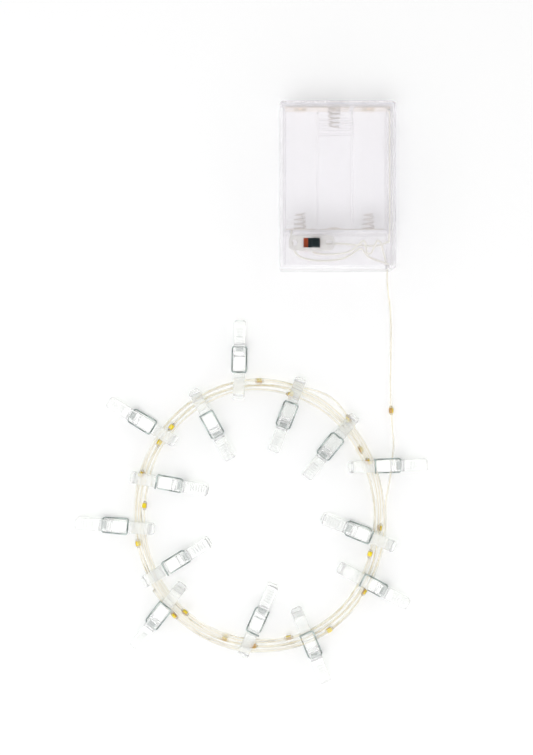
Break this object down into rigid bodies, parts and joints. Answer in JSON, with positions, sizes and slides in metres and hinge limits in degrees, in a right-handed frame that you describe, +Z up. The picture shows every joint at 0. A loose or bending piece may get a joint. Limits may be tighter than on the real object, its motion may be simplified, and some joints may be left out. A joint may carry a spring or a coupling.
{
  "type": "photo display string with clips",
  "caption": "Wound twin wire with LED drops, a clear battery case with slide switch and sliding cover, and clear spring pegs that hold photographs on the wire.",
  "frame": {"origin": "centre of the face that the battery case rests on, on the cover's underside", "axes": "+Z up from the surface that everything lies on, +Y along the case away from the wound ring, +X to the side where the wire leaves the case"},
  "size_m": [0.1562, 0.255, 0.0232],
  "materials": {
    "clear_case": "clear moulded polystyrene",
    "clear_peg": "clear moulded plastic",
    "peg_spring": "dark drawn spring wire",
    "contact": "nickelled strip and wire",
    "switch_sheet": "zinc-plated sheet",
    "switch_board": "phenolic board",
    "switch_knob": "moulded black plastic",
    "wire": "clear insulation over fine strands"
  },
  "bodies": {
    "root": {"case_tray": "clear_case", "contact_series_top": "contact", "contact_series_bottom": "contact", "contact_positive": "contact", "contact_negative": "contact", "battery_spring_left": "contact", "battery_spring_middle": "contact", "battery_spring_right": "contact", "switch_frame": "switch_sheet", "switch_base": "switch_board", "wire_positive": "wire", "wire_switched": "wire", "wire_negative": "wire", "cord_lead": "wire", "cord_ring": "wire", "clip_01_lower_lever": "clear_peg", "clip_01_spring": "peg_spring", "clip_02_lower_lever": "clear_peg", "clip_02_spring": "peg_spring", "clip_03_lower_lever": "clear_peg", "clip_03_spring": "peg_spring", "clip_04_lower_lever": "clear_peg", "clip_04_spring": "peg_spring", "clip_05_lower_lever": "clear_peg", "clip_05_spring": "peg_spring", "clip_06_lower_lever": "clear_peg", "clip_06_spring": "peg_spring", "clip_07_lower_lever": "clear_peg", "clip_07_spring": "peg_spring", "clip_08_lower_lever": "clear_peg", "clip_08_spring": "peg_spring", "clip_09_lower_lever": "clear_peg", "clip_09_spring": "peg_spring", "clip_10_lower_lever": "clear_peg", "clip_10_spring": "peg_spring", "clip_11_lower_lever": "clear_peg", "clip_11_spring": "peg_spring", "clip_12_lower_lever": "clear_peg", "clip_12_spring": "peg_spring", "clip_13_lower_lever": "clear_peg", "clip_13_spring": "peg_spring", "clip_14_lower_lever": "clear_peg", "clip_14_spring": "peg_spring"},
    "cover": {"battery_cover": "clear_case"},
    "knob": {"switch_knob": "switch_knob"},
    "clip_01_upper": {"clip_01_upper_lever": "clear_peg"},
    "clip_02_upper": {"clip_02_upper_lever": "clear_peg"},
    "clip_03_upper": {"clip_03_upper_lever": "clear_peg"},
    "clip_04_upper": {"clip_04_upper_lever": "clear_peg"},
    "clip_05_upper": {"clip_05_upper_lever": "clear_peg"},
    "clip_06_upper": {"clip_06_upper_lever": "clear_peg"},
    "clip_07_upper": {"clip_07_upper_lever": "clear_peg"},
    "clip_08_upper": {"clip_08_upper_lever": "clear_peg"},
    "clip_09_upper": {"clip_09_upper_lever": "clear_peg"},
    "clip_10_upper": {"clip_10_upper_lever": "clear_peg"},
    "clip_11_upper": {"clip_11_upper_lever": "clear_peg"},
    "clip_12_upper": {"clip_12_upper_lever": "clear_peg"},
    "clip_13_upper": {"clip_13_upper_lever": "clear_peg"},
    "clip_14_upper": {"clip_14_upper_lever": "clear_peg"}
  },
  "joints": [
    {"name": "cover_slide", "type": "slide", "parent": "root", "child": "cover", "axis": [0, 1, 0], "range_m": [0, 0.06]},
    {"name": "switch_slide", "type": "slide", "parent": "root", "child": "knob", "axis": [-1, 0, 0], "range_m": [0, 0.0032]},
    {"name": "clip_01_pivot", "type": "hinge", "parent": "root", "child": "clip_01_upper", "pos_m": [-0.04284, -0.07038, 0.00421], "axis": [-0.9998, 0.0177, 0], "range_deg": [0, 25], "stiffness_Nm_per_rad": 0.0005, "springref_deg": -34.38, "deforming": ["clip_01_spring"]},
    {"name": "clip_02_pivot", "type": "hinge", "parent": "root", "child": "clip_02_upper", "pos_m": [-0.09025, -0.10032, 0.00421], "axis": [-0.5228, -0.8525, 0], "range_deg": [0, 25], "stiffness_Nm_per_rad": 0.0005, "springref_deg": -34.38, "deforming": ["clip_02_spring"]},
    {"name": "clip_03_pivot", "type": "hinge", "parent": "root", "child": "clip_03_upper", "pos_m": [-0.05257, -0.10874, 0.00421], "axis": [0.8746, 0.4848, 0], "range_deg": [0, 25], "stiffness_Nm_per_rad": 0.0005, "springref_deg": -34.38, "deforming": ["clip_03_spring"]},
    {"name": "clip_04_pivot", "type": "hinge", "parent": "root", "child": "clip_04_upper", "pos_m": [-0.0236, -0.10471, 0.00421], "axis": [0.9329, -0.36, 0], "range_deg": [0, 25], "stiffness_Nm_per_rad": 0.0005, "springref_deg": -34.38, "deforming": ["clip_04_spring"]},
    {"name": "clip_05_pivot", "type": "hinge", "parent": "root", "child": "clip_05_upper", "pos_m": [-0.00573, -0.11792, 0.00421], "axis": [0.7769, -0.6296, 0], "range_deg": [0, 25], "stiffness_Nm_per_rad": 0.0005, "springref_deg": -34.38, "deforming": ["clip_05_spring"]},
    {"name": "clip_06_pivot", "type": "hinge", "parent": "root", "child": "clip_06_upper", "pos_m": [0.02794, -0.12236, 0.00421], "axis": [-0.0357, 0.9994, 0], "range_deg": [0, 25], "stiffness_Nm_per_rad": 0.0005, "springref_deg": -34.38, "deforming": ["clip_06_spring"]},
    {"name": "clip_07_pivot", "type": "hinge", "parent": "root", "child": "clip_07_upper", "pos_m": [0.00533, -0.15014, 0.00421], "axis": [-0.3748, -0.9271, 0], "range_deg": [0, 25], "stiffness_Nm_per_rad": 0.0005, "springref_deg": -34.38, "deforming": ["clip_07_spring"]},
    {"name": "clip_08_pivot", "type": "hinge", "parent": "root", "child": "clip_08_upper", "pos_m": [0.02089, -0.17797, 0.00421], "axis": [0.4763, 0.8793, 0], "range_deg": [0, 25], "stiffness_Nm_per_rad": 0.0005, "springref_deg": -34.38, "deforming": ["clip_08_spring"]},
    {"name": "clip_09_pivot", "type": "hinge", "parent": "root", "child": "clip_09_upper", "pos_m": [-0.00931, -0.20643, 0.00421], "axis": [0.9231, 0.3847, 0], "range_deg": [0, 25], "stiffness_Nm_per_rad": 0.0005, "springref_deg": -34.38, "deforming": ["clip_09_spring"]},
    {"name": "clip_10_pivot", "type": "hinge", "parent": "root", "child": "clip_10_upper", "pos_m": [-0.03274, -0.18662, 0.00421], "axis": [-0.9141, 0.4056, 0], "range_deg": [0, 25], "stiffness_Nm_per_rad": 0.0005, "springref_deg": -34.38, "deforming": ["clip_10_spring"]},
    {"name": "clip_11_pivot", "type": "hinge", "parent": "root", "child": "clip_11_upper", "pos_m": [-0.08185, -0.19285, 0.00421], "axis": [0.7889, -0.6146, 0], "range_deg": [0, 25], "stiffness_Nm_per_rad": 0.0005, "springref_deg": -34.38, "deforming": ["clip_11_spring"]},
    {"name": "clip_12_pivot", "type": "hinge", "parent": "root", "child": "clip_12_upper", "pos_m": [-0.06674, -0.16261, 0.00421], "axis": [-0.5296, 0.8482, 0], "range_deg": [0, 25], "stiffness_Nm_per_rad": 0.0005, "springref_deg": -34.38, "deforming": ["clip_12_spring"]},
    {"name": "clip_13_pivot", "type": "hinge", "parent": "root", "child": "clip_13_upper", "pos_m": [-0.10303, -0.14867, 0.00421], "axis": [-0.0871, -0.9962, 0], "range_deg": [0, 25], "stiffness_Nm_per_rad": 0.0005, "springref_deg": -34.38, "deforming": ["clip_13_spring"]},
    {"name": "clip_14_pivot", "type": "hinge", "parent": "root", "child": "clip_14_upper", "pos_m": [-0.06907, -0.13135, 0.00421], "axis": [0.1739, 0.9848, 0], "range_deg": [0, 25], "stiffness_Nm_per_rad": 0.0005, "springref_deg": -34.38, "deforming": ["clip_14_spring"]}
  ]
}
